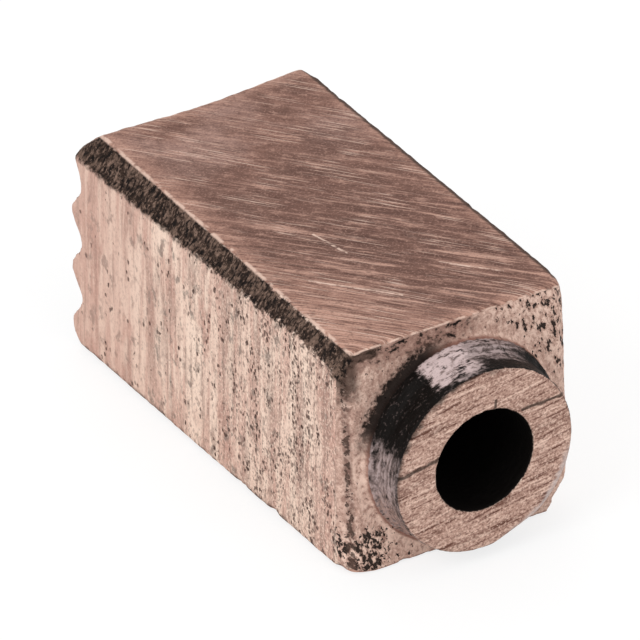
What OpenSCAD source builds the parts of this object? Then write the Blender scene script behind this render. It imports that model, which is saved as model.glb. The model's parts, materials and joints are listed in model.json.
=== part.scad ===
// Copper-graphite brush for a small motor, pressed and machined as one piece.
// One end has a round spigot for the spring with a blind hole for the lead.
// The other end is the contact face, worn hollow and grooved by the commutator.
// The brush lies on one long side. -Y is the spigot end, +Y is the contact
// face and +Z is up. The origin is under the middle of the overall length.

/* [Block] */
// Width of the block
body_w = 6.5; // [5.8:0.1:12]
// Height of the block as it lies
body_h = 6; // [5.6:0.1:12]
// Length of the side it lies on, from the end face to the contact crests
body_l = 12.8; // [9:0.1:25]
// How far the top of the end face leans back, where it was cut out of square
end_lean = 0.5; // [0:0.05:0.8]

/* [Edges] */
// Width that the flat along the upper left edge takes off the top
upper_flat_w = 0.45; // [0.2:0.05:0.8]
// Height that this flat takes off the left side
upper_flat_h = 0.55; // [0.2:0.05:0.8]
// Width that the flat along the lower right edge takes off the underside
lower_flat_w = 0.75; // [0.2:0.05:1.2]
// Height that this flat takes off the right side
lower_flat_h = 1.05; // [0.2:0.05:1.2]
// Break on the other two long edges
edge_break = 0.12; // [0.05:0.01:0.2]
// Bevel on the two upright edges beside the spigot
end_bevel = 0.3; // [0.1:0.05:0.4]

/* [Spigot] */
// Diameter of the spigot
spigot_d = 5; // [4:0.1:5.3]
// Height of the spigot above the end face, at its centre line
spigot_h = 1.15; // [0.7:0.05:2.5]
// How far the spigot sits below the middle of the block
spigot_drop = 0.2; // [0:0.01:0.2]
// Bevel around the rim of the spigot
rim_bevel = 0.08; // [0.02:0.01:0.2]
// Radius of the fillet around the foot of the spigot
foot_fillet = 0.18; // [0.05:0.01:0.4]

/* [Lead hole] */
// Diameter of the lead hole
hole_d = 2.7; // [1.5:0.1:4]
// Depth of the hole's straight wall, from the face of the spigot
hole_depth = 6; // [3:0.1:9]
// Included angle of the drill point at the bottom of the hole
drill_angle = 118; // [90:1:140]

/* [Contact face] */
// Diameter of the commutator that the face is worn to
commutator_d = 36; // [20:1:100]
// Spacing of the wear grooves
groove_pitch = 1.6; // [1.35:0.05:3]
// Width of one groove at the crests
groove_w = 1.25; // [0.6:0.05:1.5]
// Depth of one groove
groove_depth = 0.45; // [0.1:0.05:0.6]
// Height of the lowest whole groove above the side that the brush lies on
groove_z = 1.38; // [0.8:0.02:2]

/* [Hidden] */
$fn = 96;

copper_graphite = [0.66, 0.52, 0.46];

// Height of the spigot's centre line, and how far the end face leans there
spigot_z = body_h / 2 - spigot_drop;
setback = end_lean * spigot_z / body_h;

// Places along Y, with the overall length centred on the origin
overall_l = body_l + spigot_h - setback;
contact_y = overall_l / 2;
end_y = contact_y - body_l;
face_y = -overall_l / 2;

// How far the spigot is rooted in the block, and a cut's reach past a face
root = 1.5;
overcut = 1;

// The fillet stays on the end face, inside its edges, and clear of the rim
room_below = spigot_z - spigot_d / 2 - edge_break;
room_beside = body_w / 2 - spigot_d / 2 - end_bevel;
foot_r = min(foot_fillet, room_below, room_beside, (end_y - face_y) / 2);

drill_tip = hole_d / 2 / tan(drill_angle / 2);

// The commutator's centre line lies where its surface meets the block's sides
commutator_r = commutator_d / 2;
commutator_y = contact_y + sqrt(pow(commutator_r, 2) - pow(body_w / 2, 2));
groove_r = (pow(groove_w / 2, 2) + pow(groove_depth, 2)) / (2 * groove_depth);
first_groove = groove_z - groove_pitch;
last_groove = body_h + groove_w / 2;

// The block seen along its length, with its two flats on opposite corners
module section_outline() {
    side = body_w / 2;
    polygon([
        [edge_break - side, 0],
        [side - lower_flat_w, 0],
        [side, lower_flat_h],
        [side, body_h - edge_break],
        [side - edge_break, body_h],
        [upper_flat_w - side, body_h],
        [-side, body_h - upper_flat_h],
        [-side, edge_break]
    ]);
}

// The spigot end seen from above, with its two bevelled corners
module end_outline() {
    side = body_w / 2;
    polygon([
        [-side - overcut, body_l + overcut],
        [-side - overcut, end_bevel + overcut],
        [end_bevel - side, 0],
        [side - end_bevel, 0],
        [side + overcut, end_bevel + overcut],
        [side + overcut, body_l + overcut]
    ]);
}

module block() {
    intersection() {
        translate([0, contact_y + overcut, 0])
            rotate([90, 0, 0])
                linear_extrude(body_l + 2 * overcut) section_outline();
        translate([0, end_y, 0])
            rotate([-atan(end_lean / body_h), 0, 0])
                translate([0, 0, -body_l])
                    linear_extrude(body_h + 2 * body_l) end_outline();
    }
}

// Half of the spigot's section, from its root at 0 out to its face. The foot
// is square to the spigot, so it stands proud where the end face leans away.
module spigot_outline() {
    reach = spigot_h + root;
    radius = spigot_d / 2;
    foot = reach - (end_y - face_y);
    difference() {
        polygon([
            [0, 0],
            [radius + foot_r, 0],
            [radius + foot_r, foot],
            [radius, foot + foot_r],
            [radius, reach - rim_bevel],
            [radius - rim_bevel, reach],
            [0, reach]
        ]);
        translate([radius + foot_r, foot + foot_r]) circle(foot_r);
    }
}

// Turned spigot, rooted in the block behind its end face
module spigot() {
    translate([0, face_y + spigot_h + root, spigot_z])
        rotate([90, 0, 0]) rotate_extrude() spigot_outline();
}

// Blind hole, drilled in from the face of the spigot
module lead_hole() {
    translate([0, face_y, spigot_z])
        rotate([-90, 0, 0]) rotate_extrude()
            polygon([
                [0, -overcut],
                [hole_d / 2, -overcut],
                [hole_d / 2, hole_depth],
                [0, hole_depth + drill_tip]
            ]);
}

// The worn commutator: a drum with one round rib for each groove that it cuts
module commutator() {
    translate([0, commutator_y, 0]) {
        translate([0, 0, -overcut])
            cylinder(r = commutator_r, h = body_h + 2 * overcut);
        for (z = [first_groove : groove_pitch : last_groove])
            translate([0, 0, z])
                rotate_extrude()
                    translate([commutator_r + groove_depth - groove_r, 0])
                        circle(groove_r);
    }
}

module brush() {
    color(copper_graphite)
        difference() {
            union() {
                block();
                spigot();
            }
            lead_hole();
            commutator();
        }
}

brush();
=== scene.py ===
import json
import math
import random

import bmesh
import bpy
import numpy as np
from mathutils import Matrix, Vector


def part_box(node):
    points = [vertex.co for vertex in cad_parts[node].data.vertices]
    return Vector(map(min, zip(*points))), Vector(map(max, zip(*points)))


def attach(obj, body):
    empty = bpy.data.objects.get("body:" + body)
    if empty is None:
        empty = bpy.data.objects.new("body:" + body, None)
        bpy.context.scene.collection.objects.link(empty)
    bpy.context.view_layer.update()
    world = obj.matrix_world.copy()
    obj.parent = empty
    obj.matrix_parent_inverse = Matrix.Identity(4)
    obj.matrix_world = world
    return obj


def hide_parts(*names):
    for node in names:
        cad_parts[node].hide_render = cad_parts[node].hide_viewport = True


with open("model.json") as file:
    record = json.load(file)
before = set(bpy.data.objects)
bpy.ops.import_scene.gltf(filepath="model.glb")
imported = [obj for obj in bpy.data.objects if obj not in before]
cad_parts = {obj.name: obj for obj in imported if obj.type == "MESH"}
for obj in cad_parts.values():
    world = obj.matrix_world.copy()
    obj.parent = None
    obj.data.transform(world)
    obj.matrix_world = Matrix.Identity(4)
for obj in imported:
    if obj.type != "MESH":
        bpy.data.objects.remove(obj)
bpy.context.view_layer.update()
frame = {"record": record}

# The brush is modelled in millimetres and brought to metres when it is done.
millimetre = 0.001


def readBlock():
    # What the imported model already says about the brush
    low, high = (np.array(corner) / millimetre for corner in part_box("brush"))
    mounts = {mount["name"]: mount for mount in frame["record"]["mounts"]}
    hole = mounts["lead_hole"]
    return {
        "low": low,
        "high": high,
        "width": high[0] - low[0],
        "height": high[2] - low[2],
        "faceY": low[1],
        "contactY": high[1],
        "axisZ": hole["pos_m"][2] / millimetre,
        "spigotRadius": mounts["spring_spigot"]["dims"]["r_mm"],
        "holeRadius": hole["dims"]["r_mm"],
        "holeDepth": hole["dims"]["length_mm"],
    }


block = readBlock()

# Forms of the brush, in millimetres; touch is how near counts as on a plane
form = {
    "endLean": 0.5,
    "flatFront": (0.33, 0.61),
    "flatBack": (0.54, 0.5),
    "lowerFlat": (0.84, 1.18),
    "edgeBreak": 0.12,
    "endBevel": 0.3,
    "cornerBreak": 0.38,
    "sideFront": 0.63,
    "spigotHeight": 1.15,
    "spigotRoot": 1.5,
    "rimBevel": 0.06,
    "rimWear": (math.radians(-68), 2.36),
    "footFillet": 0.18,
    "drillAngle": math.radians(118),
    "commutatorRadius": 18,
    "groovePitch": 1.6,
    "grooveDepth": 0.45,
    "grooveHeight": 1.38,
    "overcut": 1,
    "touch": 0.01,
    "meshStep": 0.073,
}
half = block["width"] / 2
lean = form["endLean"] / block["height"]
endY = block["faceY"] + form["spigotHeight"] - lean * block["axisZ"]
drumY = block["contactY"] + math.sqrt(form["commutatorRadius"] ** 2 - half**2)


def unit(vector):
    vector = np.array(vector, float)
    return vector / np.linalg.norm(vector)


def upperFlatPlane():
    # The flat was dressed by hand, so its legs change from end to end
    frontTop, frontSide = form["flatFront"]
    backTop, backSide = form["flatBack"]
    along = (backTop - frontTop, block["contactY"] - endY, 0)
    down = (-(frontTop + backTop) / 2, 0, -(frontSide + backSide) / 2)
    normal = unit(np.cross(along, down))
    return (frontTop - half, endY, block["height"]), normal


def lowerFlatPlane():
    width, height = form["lowerFlat"]
    return (half, 0, height), unit((height, 0, -width))


# Every flat surface of the block: a point on it and the way it faces
planes = {
    "left": ((-half, 0, 0), unit((-1, 0, 0))),
    "right": ((half, 0, 0), unit((1, 0, 0))),
    "top": ((0, 0, block["height"]), unit((0, 0, 1))),
    "under": ((0, 0, 0), unit((0, 0, -1))),
    "end": ((0, endY, 0), unit((0, -1, lean))),
    "upperFlat": upperFlatPlane(),
    "lowerFlat": lowerFlatPlane(),
}


def deselectAll():
    bpy.ops.object.select_all(action="DESELECT")


def editing(on):
    bpy.ops.object.mode_set(mode="EDIT" if on else "OBJECT")


def activate(piece):
    deselectAll()
    piece.select_set(True)
    bpy.context.view_layer.objects.active = piece


def newPiece(name):
    piece = bpy.context.active_object
    piece.name = name
    piece.data.name = name
    bpy.ops.object.transform_apply(location=True, rotation=True, scale=True)
    return piece


def pick(piece, kind, test):
    # Selects the parts of a piece in edit mode by their place
    bpy.ops.mesh.select_all(action="DESELECT")
    bpy.ops.mesh.select_mode(type=kind)
    mesh = bmesh.from_edit_mesh(piece.data)
    parts = {"VERT": mesh.verts, "EDGE": mesh.edges, "FACE": mesh.faces}[kind]
    for part in parts:
        corners = [part] if kind == "VERT" else part.verts
        if test([corner.co for corner in corners]):
            part.select_set(True)
    bmesh.update_edit_mesh(piece.data)


def sliceOff(plane):
    # Takes off all that lies outside the plane
    place, normal = plane
    bpy.ops.mesh.select_all(action="SELECT")
    bpy.ops.mesh.bisect(
        plane_co=tuple(place), plane_no=tuple(normal), use_fill=True, clear_outer=True
    )


def makeBlock():
    length = block["contactY"] - endY + 2 * form["overcut"]
    bpy.ops.mesh.primitive_cube_add(
        size=1,
        location=(0, (block["contactY"] + endY) / 2, block["height"] / 2),
        scale=(block["width"], length, block["height"]),
    )
    piece = newPiece("brushBody")
    editing(True)
    sliceOff(planes["end"])
    for side in (-1, 1):
        sliceOff(((side * (half - form["endBevel"]), endY, 0), (side, -1, lean)))
    sliceOff(planes["upperFlat"])
    sliceOff(planes["lowerFlat"])
    touch = form["touch"]

    def squareLongEdge(points):
        first, last = points
        runs = abs(first.y - last.y) > form["spigotRoot"]
        topRight = first.x > half - touch and first.z > block["height"] - touch
        lowLeft = first.x < touch - half and first.z < touch
        return runs and (topRight or lowLeft)

    pick(piece, "EDGE", squareLongEdge)
    bpy.ops.mesh.bevel(offset=form["edgeBreak"], segments=2)

    def wornCorner(points):
        point = points[0]
        aside = form["endBevel"] + form["edgeBreak"]
        front = point.y < endY + form["endLean"] + form["endBevel"]
        topRight = point.x > half - aside and point.z > block["height"] - 2 * form["edgeBreak"]
        lowLeft = point.x < aside - half and point.z < 2 * form["edgeBreak"]
        return front and (topRight or lowLeft)

    pick(piece, "VERT", wornCorner)
    bpy.ops.mesh.bevel(
        affect="VERTICES", offset=form["cornerBreak"], segments=2, clamp_overlap=True
    )
    editing(False)
    return piece


def addRod(name, radius, front, length):
    # A cylinder on the spigot's axis, from its front face backwards
    bpy.ops.mesh.primitive_cylinder_add(
        vertices=128,
        radius=radius,
        depth=length,
        location=(0, front + length / 2, block["axisZ"]),
        rotation=(math.radians(90), 0, 0),
    )
    return newPiece(name)


def pushBack(step):
    bpy.ops.mesh.extrude_region_move(TRANSFORM_OT_translate={"value": (0, step, 0)})


def growRod(step, share):
    pushBack(step)
    bpy.ops.transform.resize(value=(share, 1, share))


def makeSpigot():
    reach = form["spigotHeight"] + form["spigotRoot"]
    piece = addRod("spigot", block["spigotRadius"], block["faceY"], reach)
    editing(True)
    rim = block["faceY"] + form["rimBevel"]
    pick(piece, "EDGE", lambda points: all(point.y < rim for point in points))
    bpy.ops.mesh.bevel(offset=form["rimBevel"], segments=2)
    # The rim is rubbed off at its lower right
    turn, radius = form["rimWear"]
    place = (radius * math.cos(turn), block["faceY"], block["axisZ"] + radius * math.sin(turn))
    sliceOff((place, unit((0.8 * math.cos(turn), -0.6, 0.8 * math.sin(turn)))))
    editing(False)
    joinOrCut(piece, makeFoot(), "UNION")
    return piece


def makeFoot():
    # A collar whose front corner is hollowed to the fillet's arc
    fillet = form["footFillet"]
    widest = block["spigotRadius"] + fillet
    piece = addRod("foot", widest, endY, form["spigotRoot"])
    editing(True)
    front = endY + form["touch"]
    pick(piece, "FACE", lambda points: all(point.y < front for point in points))
    steps = 5
    turns = [math.radians(90) * step / steps for step in range(steps + 1)]
    radii = [widest - fillet * math.sin(turn) for turn in turns]
    rises = [fillet * (1 - math.cos(turn)) for turn in turns]
    for step in range(steps):
        growRod(rises[step] - rises[step + 1], radii[step + 1] / radii[step])
    editing(False)
    return piece


def makeDrill():
    # Straight wall to the hole's depth, then the cone of the drill point
    front = block["faceY"] - form["overcut"]
    inner = block["faceY"] + block["holeDepth"]
    piece = addRod("drill", block["holeRadius"], front, inner - front)
    tip = block["holeRadius"] / math.tan(form["drillAngle"] / 2)
    editing(True)
    end = inner - form["touch"]
    pick(piece, "FACE", lambda points: all(point.y > end for point in points))
    pushBack(tip)
    bpy.ops.mesh.merge(type="CENTER")
    editing(False)
    return piece


def wornPlace(x, z):
    # The worn face: a drum's curve across the width, waved by its ribs
    turn = 2 * np.pi * (z - form["grooveHeight"]) / form["groovePitch"]
    rib = form["grooveDepth"] * (0.5 + 0.5 * np.cos(turn))
    return drumY - np.sqrt((form["commutatorRadius"] + rib) ** 2 - x**2)


def makeWearCutter():
    bpy.ops.mesh.primitive_grid_add(
        x_subdivisions=48,
        y_subdivisions=140,
        size=1,
        location=(0, block["contactY"], block["height"] / 2),
        rotation=(math.radians(90), 0, 0),
    )
    wide = block["width"] + form["overcut"]
    tall = block["height"] + form["overcut"]
    bpy.ops.transform.resize(value=(wide, 1, tall))
    piece = newPiece("wearCutter")
    for vert in piece.data.vertices:
        vert.co.y = wornPlace(vert.co.x, vert.co.z)
    editing(True)
    bpy.ops.mesh.select_all(action="SELECT")
    pushBack(3 * form["overcut"])
    bpy.ops.mesh.select_all(action="SELECT")
    bpy.ops.mesh.normals_make_consistent(inside=False)
    editing(False)
    return piece


# Chips along the edges: how many, how big, how far off the line and how uneven
chips = {
    "seed": 11,
    "scatter": 0.05,
    "stretch": (0.7, 1.4),
    "lowLeft": {"count": 22, "size": (0.04, 0.15)},
    "frontTop": {"count": 22, "size": (0.05, 0.12)},
    "topRight": {"count": 30, "size": (0.05, 0.12)},
    "frontLeft": {"count": 24, "size": (0.05, 0.13)},
    "lowFront": {"count": 14, "size": (0.05, 0.12)},
    "upperFlat": {"count": 20, "size": (0.04, 0.09)},
    "notch": {"x": -1.85, "size": 0.16},
    "holeRim": {"count": 26, "size": (0.05, 0.1)},
    "spigotRim": {"count": 26, "size": (0.03, 0.08)},
}


def chipLines():
    # Start and finish of each edge that is chipped
    top = block["height"]
    frontTop = endY + form["endLean"]
    back = block["contactY"] - form["grooveDepth"]
    bevel = form["endBevel"]
    flatTop, flatSide = form["flatFront"]
    flatSideBack = form["flatBack"][1]
    return {
        "lowLeft": ((-half, endY, 0), (-half, back, 0)),
        "frontTop": ((flatTop - half, frontTop, top), (half - bevel, frontTop, top)),
        "topRight": ((half, frontTop + bevel, top), (half, back, top)),
        "frontLeft": ((bevel - half, endY, 0), (bevel - half, frontTop, top - flatSide)),
        "lowFront": ((bevel - half, endY, 0), (half - 1, endY, 0)),
        "upperFlat": ((-half, frontTop, top - flatSide), (-half, back, top - flatSideBack)),
    }


def makeChips():
    # One small rough ball for each chip, joined into a single cutter
    chance = random.Random(chips["seed"])
    scatter = chips["scatter"]
    places = []
    for name, (start, finish) in chipLines().items():
        smallest, biggest = chips[name]["size"]
        for count in range(chips[name]["count"]):
            share = chance.random()
            size = smallest + (biggest - smallest) * chance.random() ** 2
            spot = [a + (b - a) * share for a, b in zip(start, finish)]
            spot = [value + chance.uniform(-scatter, scatter) for value in spot]
            places.append((spot, size))
    rims = {"holeRim": block["holeRadius"], "spigotRim": block["spigotRadius"]}
    for name, radius in rims.items():
        smallest, biggest = chips[name]["size"]
        for count in range(chips[name]["count"]):
            turn = chance.uniform(0, 2 * math.pi)
            size = chance.uniform(smallest, biggest)
            up = block["axisZ"] + radius * math.sin(turn)
            places.append(((radius * math.cos(turn), block["faceY"], up), size))
    notch = chips["notch"]
    notchPlace = (notch["x"], endY + form["endLean"], block["height"])
    places.append((notchPlace, notch["size"]))
    balls = []
    for spot, size in places:
        bpy.ops.mesh.primitive_ico_sphere_add(subdivisions=2, radius=size, location=spot)
        ball = bpy.context.active_object
        ball.scale = [chance.uniform(*chips["stretch"]) for axis in range(3)]
        ball.rotation_euler = [chance.uniform(0, 3) for axis in range(3)]
        balls.append(ball)
    deselectAll()
    for ball in balls:
        ball.select_set(True)
    bpy.ops.object.join()
    return newPiece("chipCutter")


def modify(piece, kind, **settings):
    # Adds a modifier and applies it at once
    modifier = piece.modifiers.new(kind, kind)
    for name, value in settings.items():
        setattr(modifier, name, value)
    activate(piece)
    bpy.ops.object.modifier_apply(modifier=modifier.name)


def joinOrCut(piece, tool, operation):
    crossing = tool.name == "chipCutter"
    modify(
        piece, "BOOLEAN", operation=operation, object=tool, solver="EXACT", use_self=crossing
    )
    bpy.data.objects.remove(tool)


def evenMesh(piece):
    modify(piece, "REMESH", mode="VOXEL", voxel_size=form["meshStep"], adaptivity=0)
    modify(piece, "SMOOTH", factor=0.4, iterations=1)


def vertexPlaces(piece):
    places = np.empty(len(piece.data.vertices) * 3)
    piece.data.vertices.foreach_get("co", places)
    return places.reshape(-1, 3)


def easeIn(values, low, high):
    share = np.clip((values - low) / (high - low), 0, 1)
    return share * share * (3 - 2 * share)


# How far past the spigot and the hole their own surfaces are looked for
slack = {"hole": 0.05, "bore": 0.2, "tip": 1, "wall": 0.4, "hiddenEnd": 4}


def measureReach(places):
    # How far each point lies inside each finish's own area, below 0 outside it
    x, y, z = places.T
    depths = {
        name: (np.array(place) - places) @ normal
        for name, (place, normal) in planes.items()
    }
    depths["contact"] = wornPlace(x, z) - y
    radius = np.hypot(x, z - block["axisZ"])
    wall = block["spigotRadius"]
    hole = block["holeRadius"]
    ahead = -depths["end"]
    inward = y - block["faceY"]
    onBlock = (ahead <= 0) & ((radius >= hole + slack["hole"]) | (y > slack["hiddenEnd"]))
    reach = {}
    for name, depth in depths.items():
        others = [depths[other] for other in depths if other != name]
        reach[name] = np.minimum.reduce(others) - np.abs(depth)
        reach[name] = np.where(onBlock, reach[name], -1)
    # The end's finish also covers the bevels beside it
    beside = np.minimum(depths["left"], depths["right"])
    beside = beside + form["sideFront"] - lean * z
    others = [depths[other] for other in ("top", "under", "upperFlat", "lowerFlat")]
    reach["end"] = np.minimum.reduce([beside, *others]) - np.abs(depths["end"])
    reach["end"] = np.minimum(reach["end"], radius - wall)
    reach["wall"] = np.minimum(ahead, inward) - np.abs(radius - wall)
    reach["wall"] = np.where(radius < wall + slack["wall"], reach["wall"], -1)
    reach["ring"] = np.minimum(wall - radius, radius - hole) - inward
    inHole = (radius < hole + slack["bore"]) & (inward < block["holeDepth"] + slack["tip"])
    reach["bore"] = np.where(inHole, inward - np.abs(radius - hole), -1)
    return {name: np.clip(values, -1, 1) for name, values in reach.items()}


def storeReach(piece, reach):
    for name, values in reach.items():
        layer = piece.data.attributes.new(name, "FLOAT", "POINT")
        layer.data.foreach_set("value", values)


def addMask(piece, name, weights):
    group = piece.vertex_groups.new(name=name)
    for index in np.nonzero(weights > 0.01)[0]:
        group.add([int(index)], float(weights[index]), "REPLACE")


def blockCorners():
    # The corners that wear has rounded
    top = block["height"]
    back = float(wornPlace(half, top))
    flatTop, flatSide = form["flatBack"]
    return [
        (half, back, top),
        (flatTop - half, back, top),
        (-half, back, top - flatSide),
        (half, endY + form["endLean"], top),
        (-half, endY, 0),
    ]


# Where each mask fades in, and how many smoothing steps round the edges
masks = {
    "finish": (-0.05, 0.15),
    "edges": (0.28, 0.0),
    "corners": (0.8, 0.25),
    "edgeSteps": 3,
    "cornerSteps": 50,
}


def paintMasks(piece, places, reach):
    within = {name: easeIn(values, *masks["finish"]) for name, values in reach.items()}
    nearest = np.maximum.reduce([reach[name] for name in (*planes, "contact")])
    spigot = np.maximum(reach["wall"], reach["ring"]) > masks["finish"][0]
    onBlock = (nearest > -0.9) & ~spigot
    addMask(piece, "edges", easeIn(nearest, *masks["edges"]) * onBlock)
    near = [np.linalg.norm(places - corner, axis=1) for corner in blockCorners()]
    addMask(piece, "corners", easeIn(np.minimum.reduce(near), *masks["corners"]))
    addMask(piece, "pressed", np.maximum(within["left"], within["right"]))
    addMask(piece, "end", within["end"])
    addMask(piece, "flat", np.maximum(within["upperFlat"], within["lowerFlat"]))
    addMask(piece, "wall", within["wall"])
    addMask(piece, "hole", within["bore"])
    addMask(piece, "contact", within["contact"])


# Relief of each finish: size and stretch of its pattern, and how deep it goes
relief = {
    "edges": {"size": 0.3, "stretch": (1, 1, 1), "detail": 3, "depth": 0.04},
    "pressed": {"size": 0.09, "stretch": (1, 1, 2.2), "detail": 2, "depth": 0.03},
    "end": {"size": 0.22, "stretch": (1, 1, 1.3), "detail": 3, "depth": 0.06},
    "flat": {"size": 0.14, "stretch": (1, 1.4, 1), "detail": 3, "depth": 0.07},
    "wall": {"size": 0.3, "stretch": (1.5, 0.5, 1.5), "detail": 3, "depth": 0.05},
    "hole": {"size": 0.25, "stretch": (1, 1.5, 1), "detail": 2, "depth": 0.03},
    "contact": {"size": 0.3, "stretch": (3, 1, 0.4), "detail": 2, "depth": 0.04},
}


def carveRelief(piece, name):
    settings = relief[name]
    texture = bpy.data.textures.new(name, "CLOUDS")
    texture.noise_scale = settings["size"]
    texture.noise_depth = settings["detail"]
    bpy.ops.object.empty_add(location=(0, 0, 0))
    ruler = bpy.context.active_object
    ruler.scale = settings["stretch"]
    bpy.context.view_layer.update()
    # A middle level of 1 only ever takes material away
    modify(
        piece,
        "DISPLACE",
        texture=texture,
        texture_coords="OBJECT",
        texture_coords_object=ruler,
        vertex_group=name,
        mid_level=1,
        strength=settings["depth"],
    )
    bpy.data.objects.remove(ruler)


def roundOff(piece, name, steps):
    modify(piece, "SMOOTH", factor=0.5, iterations=steps, vertex_group=name)


def keepInside(piece):
    # A hair inside the block's box, so that rounding never leaves it
    hair = 0.0005
    places = vertexPlaces(piece)
    np.clip(places, block["low"] + hair, block["high"] - hair, out=places)
    piece.data.vertices.foreach_set("co", places.ravel())
    piece.data.update()


def modelBrush():
    piece = makeBlock()
    joinOrCut(piece, makeSpigot(), "UNION")
    joinOrCut(piece, makeDrill(), "DIFFERENCE")
    joinOrCut(piece, makeWearCutter(), "DIFFERENCE")
    joinOrCut(piece, makeChips(), "DIFFERENCE")
    print("brush: solid form,", len(piece.data.polygons), "faces")
    evenMesh(piece)
    print("brush: even mesh,", len(piece.data.polygons), "faces")
    places = vertexPlaces(piece)
    reach = measureReach(places)
    storeReach(piece, reach)
    paintMasks(piece, places, reach)
    roundOff(piece, "edges", masks["edgeSteps"])
    roundOff(piece, "corners", masks["cornerSteps"])
    for name in relief:
        carveRelief(piece, name)
    piece.vertex_groups.clear()
    keepInside(piece)
    piece.scale = (millimetre, millimetre, millimetre)
    activate(piece)
    bpy.ops.object.transform_apply(location=True, rotation=True, scale=True)
    bpy.ops.object.shade_smooth_by_angle(angle=math.radians(50))
    print("brush: relief carved")
    return piece


deselectAll()
brushBody = modelBrush()
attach(brushBody, "root")
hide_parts("brush")


# Shader building, one short call for each kind of node, in the tree of the
# material that was started last
drawing = {}


def startMaterial(piece, name):
    # Gives the piece a new material and returns its shader
    material = bpy.data.materials.new(name)
    material.use_nodes = True
    piece.data.materials.clear()
    piece.data.materials.append(material)
    drawing["tree"] = material.node_tree
    return material.node_tree.nodes["Principled BSDF"]


def feed(socket, value):
    # A socket takes another node's output or a fixed value
    if isinstance(value, bpy.types.NodeSocket):
        drawing["tree"].links.new(value, socket)
    else:
        socket.default_value = value


def addNode(kind, inputs, **settings):
    node = drawing["tree"].nodes.new("ShaderNode" + kind)
    for name, value in settings.items():
        setattr(node, name, value)
    for key, value in inputs.items():
        feed(node.inputs[key], value)
    return node


def sums(operation, *values):
    # Works through the values from the first to the last
    total = values[0]
    for value in values[1:]:
        total = addNode("Math", {0: total, 1: value}, operation=operation).outputs[0]
    return total


def plus(*values):
    return sums("ADD", *values)


def minus(*values):
    return sums("SUBTRACT", *values)


def times(*values):
    return sums("MULTIPLY", *values)


def largest(*values):
    return sums("MAXIMUM", *values)


def ease(value, low, high):
    # 0 at low and 1 at high, and the other way round where low is the larger
    inputs = {
        "Value": value,
        "From Min": min(low, high),
        "From Max": max(low, high),
        "To Min": 0 if low < high else 1,
        "To Max": 1 if low < high else 0,
    }
    return addNode("MapRange", inputs, interpolation_type="SMOOTHSTEP").outputs["Result"]


def between(value, low, high, soft):
    rise = ease(value, low - soft, low + soft)
    fall = ease(value, high + soft, high - soft)
    return times(rise, fall)


def paint(red, green, blue):
    # Screen values from 0 to 255, brought to the shader's linear ones
    values = [value / 255 for value in (red, green, blue)]
    linear = [
        value / 12.92 if value <= 0.04045 else ((value + 0.055) / 1.055) ** 2.4
        for value in values
    ]
    return (*linear, 1)


def blend(share, under, over):
    inputs = {0: share, 6: under, 7: over}
    return addNode("Mix", inputs, data_type="RGBA").outputs[2]


def blendValue(share, under, over):
    inputs = {0: share, 2: under, 3: over}
    return addNode("Mix", inputs, data_type="FLOAT").outputs[0]


def mapped(place, **inputs):
    return addNode("Mapping", {"Vector": place, **inputs}).outputs["Vector"]


def bodyPlace():
    # The piece's own coordinates, in millimetres
    place = addNode("TexCoord", {}).outputs["Object"]
    return mapped(place, Scale=(1 / millimetre,) * 3)


def turned(place, angles):
    return mapped(place, Rotation=[math.radians(angle) for angle in angles])


def stretched(place, size, shift):
    return mapped(place, Location=(shift,) * 3, Scale=[1 / length for length in size])


def grain(place, size, detail=2.0, rough=0.5, shift=0.0):
    # Noise whose marks are about size long in each direction
    place = stretched(place, size, shift)
    inputs = {"Vector": place, "Scale": 1, "Detail": detail, "Roughness": rough}
    return addNode("TexNoise", inputs).outputs["Fac"]


def spots(place, size, radius, crowd, shift=0.0):
    # Round specks, in as large a share of the cells as crowd says
    cells = addNode("TexVoronoi", {"Vector": stretched(place, size, shift), "Scale": 1})
    chance = addNode("SeparateColor", {0: cells.outputs["Color"]}).outputs[0]
    inside = ease(cells.outputs["Distance"], radius, radius * 0.55)
    return times(inside, ease(minus(crowd, chance), -0.02, 0.02))


def vectorMath(operation, first, second):
    key = "Scale" if operation == "SCALE" else 1
    node = addNode("VectorMath", {0: first, key: second}, operation=operation)
    return node.outputs["Value" if operation in ("DOT_PRODUCT", "DISTANCE") else "Vector"]


def scratch(place, start, finish, width):
    # One straight mark from start to finish, narrowing at both ends
    whole = [b - a for a, b in zip(start, finish)]
    squared = sum(part * part for part in whole)
    fromStart = vectorMath("SUBTRACT", place, start)
    share = times(vectorMath("DOT_PRODUCT", fromStart, whole), 1 / squared)
    held = sums("MINIMUM", largest(share, 0.0), 1.0)
    nearest = vectorMath("SCALE", whole, held)
    away = vectorMath("DISTANCE", fromStart, nearest)
    return ease(away, width, width * 0.3)


def shakenPlace(place, size, amount):
    # The same place moved a little by a noise of that size
    noise = addNode("TexNoise", {"Vector": place, "Scale": 1 / size}).outputs["Color"]
    centred = vectorMath("SUBTRACT", noise, (0.5, 0.5, 0.5))
    return vectorMath("ADD", place, vectorMath("SCALE", centred, amount * 2))


def reachOf(name):
    return addNode("Attribute", {}, attribute_name=name).outputs["Fac"]


def splitPlace(place):
    return addNode("SeparateXYZ", {"Vector": place}).outputs


def joinPlace(x, y, z):
    return addNode("CombineXYZ", {0: x, 1: y, 2: z}).outputs[0]


def fromAxis(x, z):
    # Height above the spigot's axis, and distance from it
    aside = minus(z, block["axisZ"])
    squared = plus(times(x, x), times(aside, aside))
    return aside, addNode("Math", {0: squared}, operation="SQRT").outputs[0]


def lay(under, tone, share, amount=1.0):
    return blend(times(share, amount), under, tones[tone])


def tint(under, tone, value, span, amount=1.0):
    # Lays a tone where the value passes from the span's first end to its last
    return lay(under, tone, ease(value, *span), amount)


def coat(colour, *layers):
    # One tint over another; each says its tone, value, span and amount
    for layer in layers:
        colour = tint(colour, *layer)
    return colour


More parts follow.
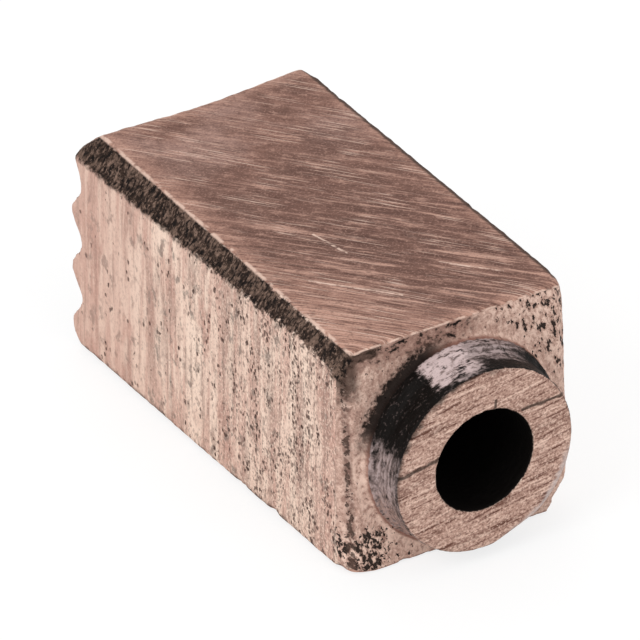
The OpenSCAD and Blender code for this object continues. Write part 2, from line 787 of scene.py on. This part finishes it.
# Colours of the finishes
tones = {
    "pressed": paint(217, 180, 164),
    "pressedCream": paint(252, 226, 207),
    "pressedRose": paint(203, 161, 146),
    "pressedAsh": paint(150, 122, 111),
    "pressedGrey": paint(126, 114, 106),
    "pit": paint(72, 50, 43),
    "ground": paint(136, 100, 88),
    "groundPale": paint(212, 168, 150),
    "groundDeep": paint(92, 64, 56),
    "groundRose": paint(188, 144, 127),
    "groundAsh": paint(164, 130, 119),
    # The upper flat's tones are painted shade for the dark it reflects; the dark one also
    # darkens marks elsewhere
    "flat": paint(57, 43, 36),
    "flatPale": paint(143, 117, 103),
    "flatDeep": paint(22, 16, 14),
    "burr": paint(236, 204, 187),
    "end": paint(198, 163, 148),
    "endPale": paint(240, 208, 191),
    # The end's brown is in its grain and is also painted shade under the top edge and round
    # the spigot
    "endBrown": paint(146, 112, 100),
    "endShade": paint(112, 84, 75),
    # Painted shadow along the spigot's foot
    "endRust": paint(132, 90, 78),
    # Near black of torn flecks, also painted shade beside the spigot and in the hole
    "soot": paint(20, 15, 13),
    "wall": paint(18, 14, 12),
    # The wall's black is partly graphite and partly painted shade; its pale pink tone is a
    # painted highlight
    "wallGlint": paint(214, 192, 190),
    "wallGrey": paint(150, 130, 126),
    "ring": paint(186, 150, 135),
    "ringPale": paint(244, 211, 193),
    "ringDeep": paint(98, 62, 51),
    # A painted highlight on the spigot's rim
    "ringWorn": paint(206, 192, 188),
    # The hole's near black is painted shade of its depth
    "bore": paint(10, 8, 7),
    "contact": paint(134, 98, 84),
    "contactPale": paint(182, 142, 124),
    "contactDeep": paint(84, 60, 52),
}


# Marks along and up the pressed sides, and the pits' cells, in millimetres
sideMarks = {
    "forward": (4.5, -4.5),
    "far": (2, 5),
    "bareFront": (-5.3, -4.5),
    # Where the painted shade along the lowest edge fades out
    "stain": (0.4, 0.22),
    "pitCell": (0.13, 0.11, 0.16),
    "smallPitCell": (0.08, 0.07, 0.1),
}


def pressedFinish(place):
    # Pressed sides: soft upright bands, rows of small pits and a fine grain
    y, z = splitPlace(place)[1:]
    forward = ease(y, *sideMarks["forward"])
    bands = grain(place, (3, 0.4, 9), 2)
    columns = grain(place, (1, 0.16, 2), 3, 0.6, shift=5)
    cloudy = grain(place, (1, 0.9, 1.4), 3, shift=4)
    broad = grain(place, (3, 0.75, 5), 2, 0.5, shift=27)
    dust = grain(place, (0.07, 0.06, 0.08), 2, 0.6)
    coarse = grain(place, (0.2, 0.14, 0.22), 3, 0.6, shift=9)
    patches = grain(place, (0.6, 0.3, 0.45), 3, 0.6, shift=16)
    crisp = plus(0.4, times(forward, 0.6))
    coarser = plus(0.35, times(forward, 0.45))
    colour = coat(
        tones["pressed"],
        ("pressedCream", bands, (0.46, 0.58), 0.75),
        ("pressedRose", cloudy, (0.5, 0.64), 0.8),
        ("pressedAsh", broad, (0.47, 0.38), 0.35),
        ("pressedCream", broad, (0.53, 0.62), 0.5),
        ("pressedAsh", columns, (0.46, 0.34), 0.5),
        ("pressedCream", columns, (0.54, 0.66), 0.6),
        ("pressedGrey", patches, (0.56, 0.69), 0.75),
        ("pressedAsh", coarse, (0.52, 0.66), coarser),
        ("pressedAsh", dust, (0.46, 0.34), times(crisp, 0.6)),
        ("pressedCream", dust, (0.54, 0.66), times(crisp, 0.7)),
        ("pressedRose", y, sideMarks["far"], 0.4),
    )
    # Pits lie closer together towards the spigot end
    rows = ease(grain(place, (1, 0.4, 1.2), 3, 0.6, shift=2), 0.4, 0.62)
    crowd = times(plus(0.06, times(forward, 0.62)), rows)
    thinner = times(ease(y, *sideMarks["bareFront"]), 0.6)
    crowd = times(crowd, plus(0.4, thinner))
    shaken = shakenPlace(place, 0.09, 0.05)
    pits = spots(shaken, sideMarks["pitCell"], 0.46, times(crowd, 0.8), shift=7)
    small = spots(shaken, sideMarks["smallPitCell"], 0.5, crowd, shift=3)
    pit = largest(times(pits, 0.95), times(small, 0.75))
    pit = times(pit, ease(columns, 0.9, 0.4))
    colour = lay(colour, "pit", pit)
    # The lowest edge is darkened in ragged places: painted contact shadow and underside shade,
    # with dark chips
    lowest = plus(z, times(coarse, 0.3))
    ragged = ease(patches, 0.42, 0.54)
    colour = tint(colour, "pit", lowest, sideMarks["stain"], times(ragged, 0.8))
    height = plus(times(dust, 0.4), times(columns, 0.3), times(pit, -0.9))
    return colour, plus(0.5, times(dust, 0.2)), height


# The ground top's scratches: their turns in degrees, places in millimetres, and
# the long marks' start, finish and width
topMarks = {
    "turns": (47, 51),
    "forward": (4, -2),
    "corner": (-0.9, -3.2),
    "back": (1.5, 4.5),
    "darkAcross": (-1.2, 2.6),
    "darkAlong": (-3.6, 2.6),
    "long": [
        ((-0.77, -0.39), (-0.55, -1.52), 0.05),
        ((-1.98, -2.12), (-0.44, -3.83), 0.05),
        ((1.13, -3.05), (2.17, -4.19), 0.045),
    ],
}


def groundFinish(place):
    # Ground top and underside: fine diagonal scratches on a cloudy brown
    x, y, z = splitPlace(place)
    along, crossed = (turned(place, (0, 0, turn)) for turn in topMarks["turns"])
    fine = grain(along, (0.8, 0.06, 1), 2, 0.5)
    lines = grain(crossed, (1.6, 0.04, 1), 1, 0.4, shift=8)
    broad = grain(along, (1.9, 0.9, 1), 3, shift=3)
    cloudy = grain(place, (2.4, 2, 1), 3, shift=5)
    mottle = grain(along, (0.28, 0.2, 0.3), 3, 0.6, shift=13)
    forward = ease(y, *topMarks["forward"])
    dust = grain(place, (0.06, 0.06, 0.06), 2, 0.6)
    streaks = grain(along, (2.6, 0.22, 1), 3, 0.6, shift=21)
    # Scuffed brighter towards the left edge and the spigot, greyer at the back
    cornerPlace = plus(times(x, 0.55), times(y, 0.3))
    corner = ease(cornerPlace, *topMarks["corner"])
    scuffed = ease(grain(along, (1.6, 0.8, 1), 2, shift=11), 0.44, 0.6)
    scuffed = largest(times(scuffed, 0.7), corner)
    back = times(ease(y, *topMarks["back"]), ease(cloudy, 0.4, 0.58))
    colour = lay(tones["ground"], "groundAsh", back, 0.85)
    colour = tint(colour, "groundDeep", broad, (0.54, 0.4), 0.4)
    # Darkest over the middle, where the skin is still whole
    across = plus(x, times(y, 0.2), broad)
    centre = between(across, *topMarks["darkAcross"], 0.9)
    centre = times(centre, between(y, *topMarks["darkAlong"], 1.2))
    colour = lay(colour, "groundDeep", centre, 0.4)
    rim = ease(reachOf("top"), 0.6, 0.05)
    paler = largest(times(rim, 0.6), times(corner, 0.95))
    colour = lay(colour, "groundRose", paler)
    streaky = plus(0.25, times(forward, 0.45))
    darker = plus(0.3, times(forward, 0.3))
    lighter = plus(0.15, times(scuffed, 0.6))
    colour = coat(
        colour,
        ("groundDeep", streaks, (0.48, 0.36), streaky),
        ("groundPale", streaks, (0.53, 0.66), streaky),
        ("groundDeep", mottle, (0.48, 0.34), 0.4),
        ("groundPale", mottle, (0.54, 0.68), 0.3),
        ("groundDeep", fine, (0.47, 0.34), darker),
        ("groundPale", fine, (0.54, 0.68), lighter),
        ("burr", lines, (0.58, 0.66), times(scuffed, 0.85)),
        ("groundPale", dust, (0.54, 0.68), 0.3),
        ("groundDeep", dust, (0.46, 0.34), 0.35),
    )
    high = block["height"]
    wavyX = plus(x, times(mottle, 0.12), -0.06)
    wavy = joinPlace(wavyX, y, plus(z, times(mottle, 0.06), -0.03))
    marks = [
        scratch(wavy, (*start, high), (*finish, high), width)
        for start, finish, width in topMarks["long"]
    ]
    mark = times(largest(*marks), ease(mottle, 0.34, 0.56))
    colour = lay(colour, "burr", mark, 0.8)
    height = plus(times(fine, 0.3), times(dust, 0.2), times(mark, -0.3))
    return colour, plus(0.4, times(fine, 0.2)), height


def shadedFlatFinish(place):
    # The upper flat: painted shade, dark for the dark surroundings it reflects, dressed by
    # short strokes across it
    across = turned(place, (0, -50, 0))
    coarse = grain(place, (0.3, 0.35, 0.3), 3, 0.6)
    strokes = grain(across, (0.22, 0.09, 0.22), 3, 0.6, shift=3)
    fine = grain(place, (0.08, 0.08, 0.08), 2, 0.6, shift=6)
    colour = coat(
        tones["flat"],
        ("flatPale", coarse, (0.48, 0.62), 0.5),
        ("flatDeep", coarse, (0.46, 0.36), 0.6),
        ("flatDeep", strokes, (0.5, 0.38)),
        ("flatPale", strokes, (0.56, 0.66), 0.75),
        ("flatPale", fine, (0.56, 0.68), 0.6),
        ("flatDeep", fine, (0.46, 0.36), 0.6),
    )
    return colour, 0.62, plus(times(strokes, 0.8), times(fine, 0.4))


def milledFinish(place):
    # The lower flat: cut clean, with fine tool lines along its length
    lines = grain(place, (0.05, 1.8, 0.05), 2)
    broad = grain(place, (0.3, 1.2, 0.3), 3, 0.6, shift=4)
    dust = grain(place, (0.07, 0.07, 0.07), 2, 0.6, shift=9)
    colour = coat(
        tones["pressed"],
        ("pressedCream", broad, (0.44, 0.62), 0.6),
        ("pressedRose", lines, (0.48, 0.34), 0.5),
        ("pressedAsh", dust, (0.46, 0.34), 0.4),
    )
    return colour, 0.42, plus(times(lines, 0.4), times(dust, 0.15))


# Stains, tears and painted shade of the end, in millimetres. The painted shade under the top
# edge, the corner and the right edge go by the distance from the block's edges, the lip,
# the painted shadow line, the shade and the painted black shade by that from the foot,
# and the columns and the smear by that from the left bevel.
endMarks = {
    "strip": (-0.45, 0.05),
    "stripSide": (0.9, 0.2),
    "lip": (0.02, 0.3),
    "line": (-0.12, -0.01),
    "shade": (0.7, 0.1),
    "soot": (0.34, 0.06),
    "corner": (2.2, 1.1),
    "column": (-0.16, 0.1),
    "columnShade": (-0.2, 0.1),
    "smear": (-0.5, 0.3),
    "smearHeight": (5.0, 5.7),
    "strokeHeight": (5.74, 5.88),
    "strokeSide": (-1.95, -2.3),
    "lowHeight": (1.7, 0.7),
    "lowSide": (-1.5, -2.5),
    "rightEdge": (0.45, 0.2),
}


def endFinish(place):
    # The sawn end: sandy grain, painted shade round the spigot, torn at its corners
    x, y, z = splitPlace(place)
    aside, around = fromAxis(x, z)
    sand = grain(place, (0.13, 0.3, 0.18), 3, 0.6)
    fine = grain(place, (0.06, 0.1, 0.07), 2, 0.6, shift=2)
    colour = coat(
        tones["end"],
        ("endPale", sand, (0.48, 0.64), 0.6),
        ("endBrown", sand, (0.46, 0.34), 0.5),
        ("endBrown", fine, (0.48, 0.36), 0.5),
        ("endPale", fine, (0.56, 0.68), 0.6),
    )
    # Painted shade: a soft brown strip under the top edge, left of the middle, where the end
    # leans up like the top
    drift = grain(place, (0.4, 1, 0.3), 3, shift=6)
    below = plus(z, -block["height"], times(drift, 0.7))
    strip = ease(below, *endMarks["strip"])
    strip = times(strip, ease(x, *endMarks["stripSide"]))
    colour = lay(colour, "endBrown", strip, 0.85)
    blotch = grain(place, (0.22, 0.3, 0.16), 3, 0.65, shift=17)
    colour = tint(colour, "flatDeep", blotch, (0.5, 0.62), strip)
    colour = tint(colour, "end", blotch, (0.46, 0.38), times(strip, 0.6))
    # A thin painted shadow line where the foot begins, and black painted shade over its upper
    # left
    foot = block["spigotRadius"] + form["footFillet"]
    outside = minus(around, foot)
    lowLeftward = ease(plus(times(x, -0.9), times(aside, -0.45)), 0.6, 2.0)
    lip = times(between(outside, *endMarks["lip"], 0.06), lowLeftward)
    lip = times(lip, ease(sand, 0.36, 0.54))
    colour = lay(colour, "endPale", lip, 0.6)
    line = between(outside, *endMarks["line"], 0.03)
    colour = lay(colour, "endRust", line, 0.85)
    toLeft = plus(times(x, -0.68), times(aside, 0.73))
    side = ease(sums("DIVIDE", toLeft, around), 0.74, 0.93)
    ragged = grain(place, (0.16, 0.5, 0.16), 3, 0.7, shift=1)
    spread = plus(outside, times(minus(ragged, 0.5), 0.9))
    shade = times(side, ease(spread, *endMarks["shade"]))
    colour = lay(colour, "endBrown", shade, 0.5)
    paintedShadow = times(side, ease(spread, *endMarks["soot"]))
    colour = lay(colour, "soot", paintedShadow, 0.97)
    # Torn black flecks at the upper right corner, the left edge and below it
    rightward = minus(half, x)
    downward = minus(block["height"], z)
    fromCorner = plus(times(rightward, 0.7), times(downward, 0.62))
    corner = times(ease(fromCorner, *endMarks["corner"]), 0.86)
    endDepth = minus(y, plus(endY, times(z, lean)))
    bevelPlace = minus(endDepth, plus(x, half))
    leftEdge = between(bevelPlace, *endMarks["column"], 0.08)
    clumps = ease(grain(place, (1, 1, 0.6), 2, shift=14), 0.38, 0.56)
    leftEdge = times(leftEdge, plus(0.7, times(clumps, 0.5)))
    shadow = between(bevelPlace, *endMarks["columnShade"], 0.08)
    blotchy = plus(0.4, times(ease(blotch, 0.42, 0.56), 0.4))
    colour = lay(colour, "endShade", shadow, blotchy)
    smearTop = ease(plus(z, times(blotch, 1.2)), *endMarks["smearHeight"])
    smear = times(between(bevelPlace, *endMarks["smear"], 0.16), smearTop)
    underTop = plus(z, times(blotch, 0.3))
    stroke = ease(underTop, *endMarks["strokeHeight"])
    stroke = times(stroke, ease(x, *endMarks["strokeSide"]))
    smear = largest(smear, stroke)
    colour = lay(colour, "flat", smear, 0.8)
    lowLeft = ease(z, *endMarks["lowHeight"])
    lowLeft = times(lowLeft, ease(x, *endMarks["lowSide"]))
    rightEdge = times(ease(rightward, *endMarks["rightEdge"]), 0.6)
    torn = largest(corner, times(leftEdge, 0.45), lowLeft, rightEdge)
    fleck = grain(turned(place, (0, 18, 0)), (0.12, 0.3, 0.22), 3, 0.6, shift=5)
    tear = ease(plus(fleck, times(torn, 0.19)), 0.7, 0.75)
    pale = times(ease(fleck, 0.48, 0.38), torn)
    grit = grain(place, (0.085, 0.2, 0.11), 2, 0.6, shift=19)
    gritty = times(largest(lowLeft, leftEdge), 0.17)
    tear = largest(tear, ease(plus(grit, gritty), 0.7, 0.75))
    colour = lay(colour, "endPale", pale, 0.9)
    tearTone = lay(tones["soot"], "flat", leftEdge, 0.8)
    hard = minus(0.95, times(leftEdge, 0.2))
    colour = blend(times(tear, hard), colour, tearTone)
    height = plus(sand, times(fine, 0.5), times(tear, -1.2))
    return colour, 0.6, height


# Bands round the spigot's wall, by their angle in radians from its left side up; the upper
# band carries a painted highlight, and the black between the upper and lower bands is partly
# painted shade
wallBands = {"upper": (1.12, 1.62), "beyond": (1.5, 2.2), "lower": (-1.4, 0.3)}


def wallFinish(place):
    # The spigot's turned wall: black graphite and painted shade, with a painted highlight in
    # pale copper
    x, y, z = splitPlace(place)
    aside = minus(z, block["axisZ"])
    angle = sums("ARCTAN2", aside, times(x, -1.0))
    smear = grain(place, (0.5, 0.08, 0.5), 3, 0.65)
    patch = grain(place, (0.3, 0.2, 0.3), 3, 0.65, shift=4)
    fine = grain(place, (0.09, 0.06, 0.09), 2, 0.6, shift=8)
    # Grey low on the left, a painted highlight on top, and black between that is partly
    # painted shade
    blurred = plus(angle, times(minus(patch, 0.5), 0.5))
    upper = between(blurred, *wallBands["upper"], 0.08)
    fromRim = minus(y, block["faceY"])
    outer = ease(plus(fromRim, times(patch, 0.7)), 0.4, 0.8)
    inward = ease(plus(fromRim, times(patch, 0.5)), 0.7, 0.95)
    beyond = times(between(blurred, *wallBands["beyond"], 0.15), inward, 0.55)
    lower = between(blurred, *wallBands["lower"], 0.1)
    lower = times(lower, plus(0.4, times(outer, 0.4)))
    paleBands = largest(times(largest(upper, beyond), outer), lower)
    grey = times(ease(patch, 0.3, 0.5), paleBands)
    colour = lay(tones["wall"], "wallGrey", grey)
    light = plus(times(smear, 0.7), times(patch, 0.4), times(fine, 0.4), times(upper, 0.07))
    paintedHighlight = times(ease(light, 0.7, 0.86), paleBands)
    paintedHighlight = times(paintedHighlight, minus(1.0, times(lower, 0.5)))
    colour = lay(colour, "wallGlint", paintedHighlight)
    calm = minus(1.0, times(lower, 0.7))
    colour = tint(colour, "wall", light, (0.74, 0.6), times(calm, 0.75))
    warm = times(lower, ease(aside, 0.0, -1.5), ease(fine, 0.4, 0.54))
    colour = lay(colour, "ring", warm, 0.8)
    marks = grain(place, (0.16, 0.12, 0.16), 2, 0.6, shift=23)
    nearRim = minus(1.0, outer)
    marks = times(ease(marks, 0.47, 0.54), lower, plus(0.2, nearRim))
    colour = lay(colour, "wall", marks)
    colour = tint(colour, "wallGrey", fine, (0.58, 0.7), 0.2)
    rough = blendValue(paintedHighlight, 0.45, 0.3)
    return colour, rough, plus(smear, times(fine, 0.6))


# Cuts in the spigot's face, from its centre: start, finish and width. The first
# lies beside the hole, the second runs from it to the rim, the third stands above.
ringCuts = [
    ((-2.5, 0.27), (-1.3, 0.48), 0.07),
    ((1.05, 1.09), (2.25, 1.13), 0.065),
    ((0.27, 1.3), (0.29, 1.56), 0.055),
]
# Where the rim's painted highlight and painted shade fade in, from the spigot's centre
ringRimLight = {"rubbed": (2.4, 2.55), "sooted": (2.5, 2.68)}


def ringFinish(place):
    # The sawn face of the spigot: saw marks almost level across it
    x, y, z = splitPlace(place)
    along = turned(place, (0, 9, 0))
    saw = grain(along, (1.3, 1, 0.085), 3, 0.6)
    broad = grain(along, (2.5, 1, 0.3), 2, shift=3)
    fine = grain(place, (0.06, 0.1, 0.05), 2, 0.6, shift=6)
    patch = grain(place, (0.3, 1, 0.2), 3, shift=9)
    colour = coat(
        tones["ring"],
        ("ringPale", saw, (0.52, 0.66), 0.7),
        ("ringDeep", saw, (0.46, 0.36), 0.9),
        ("ringDeep", broad, (0.44, 0.34), 0.3),
        ("ringPale", patch, (0.54, 0.7), 0.35),
        ("ringDeep", fine, (0.47, 0.36), 0.6),
        ("ringPale", fine, (0.54, 0.66), 0.6),
    )
    aside, around = fromAxis(x, z)
    wobble = grain(place, (0.3, 0.3, 0.3), 2, shift=20)
    bent = joinPlace(x, 0.0, plus(aside, times(wobble, 0.16), -0.08))
    cuts = [
        scratch(bent, (start[0], 0, start[1]), (finish[0], 0, finish[1]), width)
        for start, finish, width in ringCuts
    ]
    cut = largest(*cuts)
    colour = lay(colour, "flat", cut, 0.85)
    # The rim has a painted highlight at its lower right and painted shade at its upper left
    rubbed = plus(around, times(patch, 0.3))
    rubbed = ease(rubbed, *ringRimLight["rubbed"])
    rubbed = times(rubbed, ease(x, 0.3, 1.3), ease(aside, -0.2, -0.9))
    colour = lay(colour, "ringWorn", rubbed, 0.7)
    toLeft = plus(times(x, -0.7), times(aside, 0.71))
    sooted = plus(around, times(patch, 0.35))
    sooted = ease(sooted, *ringRimLight["sooted"])
    leftward = ease(sums("DIVIDE", toLeft, around), 0.4, 0.85)
    colour = lay(colour, "wall", times(sooted, leftward), 0.85)
    height = plus(saw, times(fine, 0.3), times(cut, -0.8))
    return colour, 0.55, height


def boreShadeFinish(place):
    # Painted shade: the deep hole is painted near black
    fine = grain(place, (0.2, 0.1, 0.2), 2)
    colour = lay(tones["bore"], "soot", fine, 0.4)
    return colour, 0.7, fine


def contactFinish(place):
    # The worn face: burnished by sliding across the width
    sliding = grain(place, (1.8, 0.5, 0.035), 2)
    cloudy = grain(place, (0.9, 0.9, 0.6), 3, 0.6, shift=6)
    dust = grain(place, (0.08, 0.08, 0.06), 2, 0.6, shift=3)
    colour = coat(
        tones["contact"],
        ("contactDeep", cloudy, (0.46, 0.66), 0.7),
        ("contactPale", cloudy, (0.46, 0.34), 0.5),
        ("contactPale", sliding, (0.54, 0.7), 0.5),
        ("contactDeep", sliding, (0.46, 0.34), 0.45),
        ("contactDeep", dust, (0.46, 0.34), 0.4),
    )
    return colour, 0.34, sliding


def layFinish(under, over, share):
    colour = blend(share, under[0], over[0])
    rough = blendValue(share, under[1], over[1])
    height = blendValue(share, under[2], over[2])
    return colour, rough, height


# How far each border wanders, how soft it is, the relief's real height, and
# where the upper flat grows ragged and wide and the far edge dirty
borders = {
    "size": 0.12,
    "wander": 0.11,
    "soft": 0.022,
    "reliefHeight": 0.03,
    "flatRagged": (3, -4),
    "flatFront": (-4.4, -5.4),
    "dirtyEdge": (-0.25, -0.17),
}


def makeCopperGraphite(piece):
    shader = startMaterial(piece, "copperGraphite")
    place = bodyPlace()
    size = borders["size"]
    ragged = grain(place, (size, size * 1.5, size), 3, 0.6, shift=12)
    wander = times(minus(ragged, 0.5), borders["wander"] * 2)

    def within(name, grow=0.0, amount=1.0, soft=borders["soft"]):
        reach = plus(reachOf(name), times(wander, amount), grow)
        return ease(reach, -soft, soft)

    finish = pressedFinish(place)
    finish = layFinish(finish, endFinish(place), within("end", amount=0.6))
    flat = shadedFlatFinish(place)
    x, y, z = splitPlace(place)
    rougher = plus(0.9, times(ease(y, *borders["flatRagged"]), 1.5))
    wider = times(ease(y, *borders["flatFront"]), 0.13)
    finish = layFinish(finish, flat, within("upperFlat", wider, rougher, 0.05))
    finish = layFinish(finish, milledFinish(place), within("lowerFlat", 0.0, 0.4))
    ground = groundFinish(place)
    finish = layFinish(finish, ground, within("top", 0.01, 0.2))
    finish = layFinish(finish, ground, within("under", amount=0.3))
    finish = layFinish(finish, contactFinish(place), within("contact", amount=0.3))
    # A thin burr stands bright where the ground top meets its edges
    burrReach = plus(reachOf("top"), times(wander, 0.4))
    broken = ease(grain(place, (0.3, 0.3, 0.3), 2, shift=15), 0.4, 0.56)
    burr = times(ease(burrReach, -0.05, 0.0), ease(burrReach, 0.08, 0.03), broken)
    colour = lay(finish[0], "burr", burr, 0.75)
    # The broken upper right edge is dirty
    outwards = plus(x, z, times(wander, 0.5), -half - block["height"])
    colour = tint(colour, "flat", outwards, borders["dirtyEdge"], 0.85)
    finish = (colour, finish[1], finish[2])
    finish = layFinish(finish, wallFinish(place), within("wall", 0.03, 0.6))
    finish = layFinish(finish, ringFinish(place), within("ring", 0.0, 0.6))
    finish = layFinish(finish, boreShadeFinish(place), within("bore", 0.0, 0.4))
    feed(shader.inputs["Base Color"], finish[0])
    feed(shader.inputs["Roughness"], finish[1])
    feed(shader.inputs["Specular IOR Level"], 0.08)
    deep = borders["reliefHeight"] * millimetre
    bump = addNode("Bump", {"Strength": 1, "Distance": deep, "Height": finish[2]})
    feed(shader.inputs["Normal"], bump.outputs["Normal"])


makeCopperGraphite(brushBody)
print("brush: finishes laid")

# Camera, low and far away with a long lens
view = {
    "azimuth": -32.1,
    "elevation": 32.1,
    "distance": 0.360,
    "target": (-0.00005, 0.00047, 0.00288),
    "sensor": 36,
    "lens": 838.35,
}


def standAt(data, target, azimuth, elevation, away):
    # Puts a camera or a lamp out in one direction, turned to its target
    holder = bpy.data.objects.new(data.name, data)
    bpy.context.scene.collection.objects.link(holder)
    turn = math.radians(azimuth)
    rise = math.radians(elevation)
    level = away * math.cos(rise)
    offset = (level * math.sin(turn), -level * math.cos(turn), away * math.sin(rise))
    holder.location = [start + step for start, step in zip(target, offset)]
    holder.rotation_euler = (math.radians(90) - rise, 0, turn)
    return holder


def aimCamera():
    camera = bpy.data.cameras.new("camera")
    camera.sensor_width = view["sensor"]
    camera.lens = view["lens"]
    camera.clip_start = 0.01
    camera.clip_end = 20
    bpy.context.scene.camera = standAt(
        camera, view["target"], view["azimuth"], view["elevation"], view["distance"]
    )


# Soft lamps: where each stands, its width and its power; then the room round them
lamps = {
    "keyLamp": {"azimuth": -75, "elevation": 40, "size": 0.25, "power": 0.68},
    "fillLamp": {"azimuth": 15, "elevation": 25, "size": 0.3, "power": 0.3},
    "backLamp": {"azimuth": 160, "elevation": 50, "size": 0.25, "power": 0.2},
}
studio = {
    "lampDistance": 0.5,
    "worldLight": 0.72,
    "floorSize": 2,
    "floorDrop": 0.00002,
    "floorGlow": 1.1,
    "floorGlowShare": 0.7,
}


def addLamp(name):
    settings = lamps[name]
    lamp = bpy.data.lights.new(name, "AREA")
    lamp.size = settings["size"]
    lamp.energy = settings["power"]
    away = studio["lampDistance"]
    standAt(lamp, (0, 0, 0), settings["azimuth"], settings["elevation"], away)


def lightStudio():
    world = bpy.data.worlds.new("studio")
    bpy.context.scene.world = world
    world.use_nodes = True
    background = world.node_tree.nodes["Background"]
    background.inputs["Color"].default_value = (1, 1, 1, 1)
    background.inputs["Strength"].default_value = studio["worldLight"]
    for name in lamps:
        addLamp(name)


def layFloor():
    # The floor looks white to the camera and still takes a faint shadow
    low = -studio["floorDrop"]
    bpy.ops.mesh.primitive_plane_add(size=studio["floorSize"], location=(0, 0, low))
    floor = newPiece("floor")
    shader = startMaterial(floor, "floorPaint")
    feed(shader.inputs["Base Color"], (0.9, 0.9, 0.9, 1))
    feed(shader.inputs["Roughness"], 0.9)
    feed(shader.inputs["Specular IOR Level"], 0.1)
    glow = addNode("Emission", {"Strength": studio["floorGlow"]}).outputs[0]
    seen = times(addNode("LightPath", {}).outputs["Is Camera Ray"], studio["floorGlowShare"])
    mixed = addNode("MixShader", {0: seen, 1: shader.outputs[0], 2: glow}).outputs[0]
    feed(drawing["tree"].nodes["Material Output"].inputs["Surface"], mixed)


aimCamera()
lightStudio()
deselectAll()
layFloor()
bpy.context.scene.view_settings.view_transform = "Standard"
print("studio: camera, lamps and floor set")
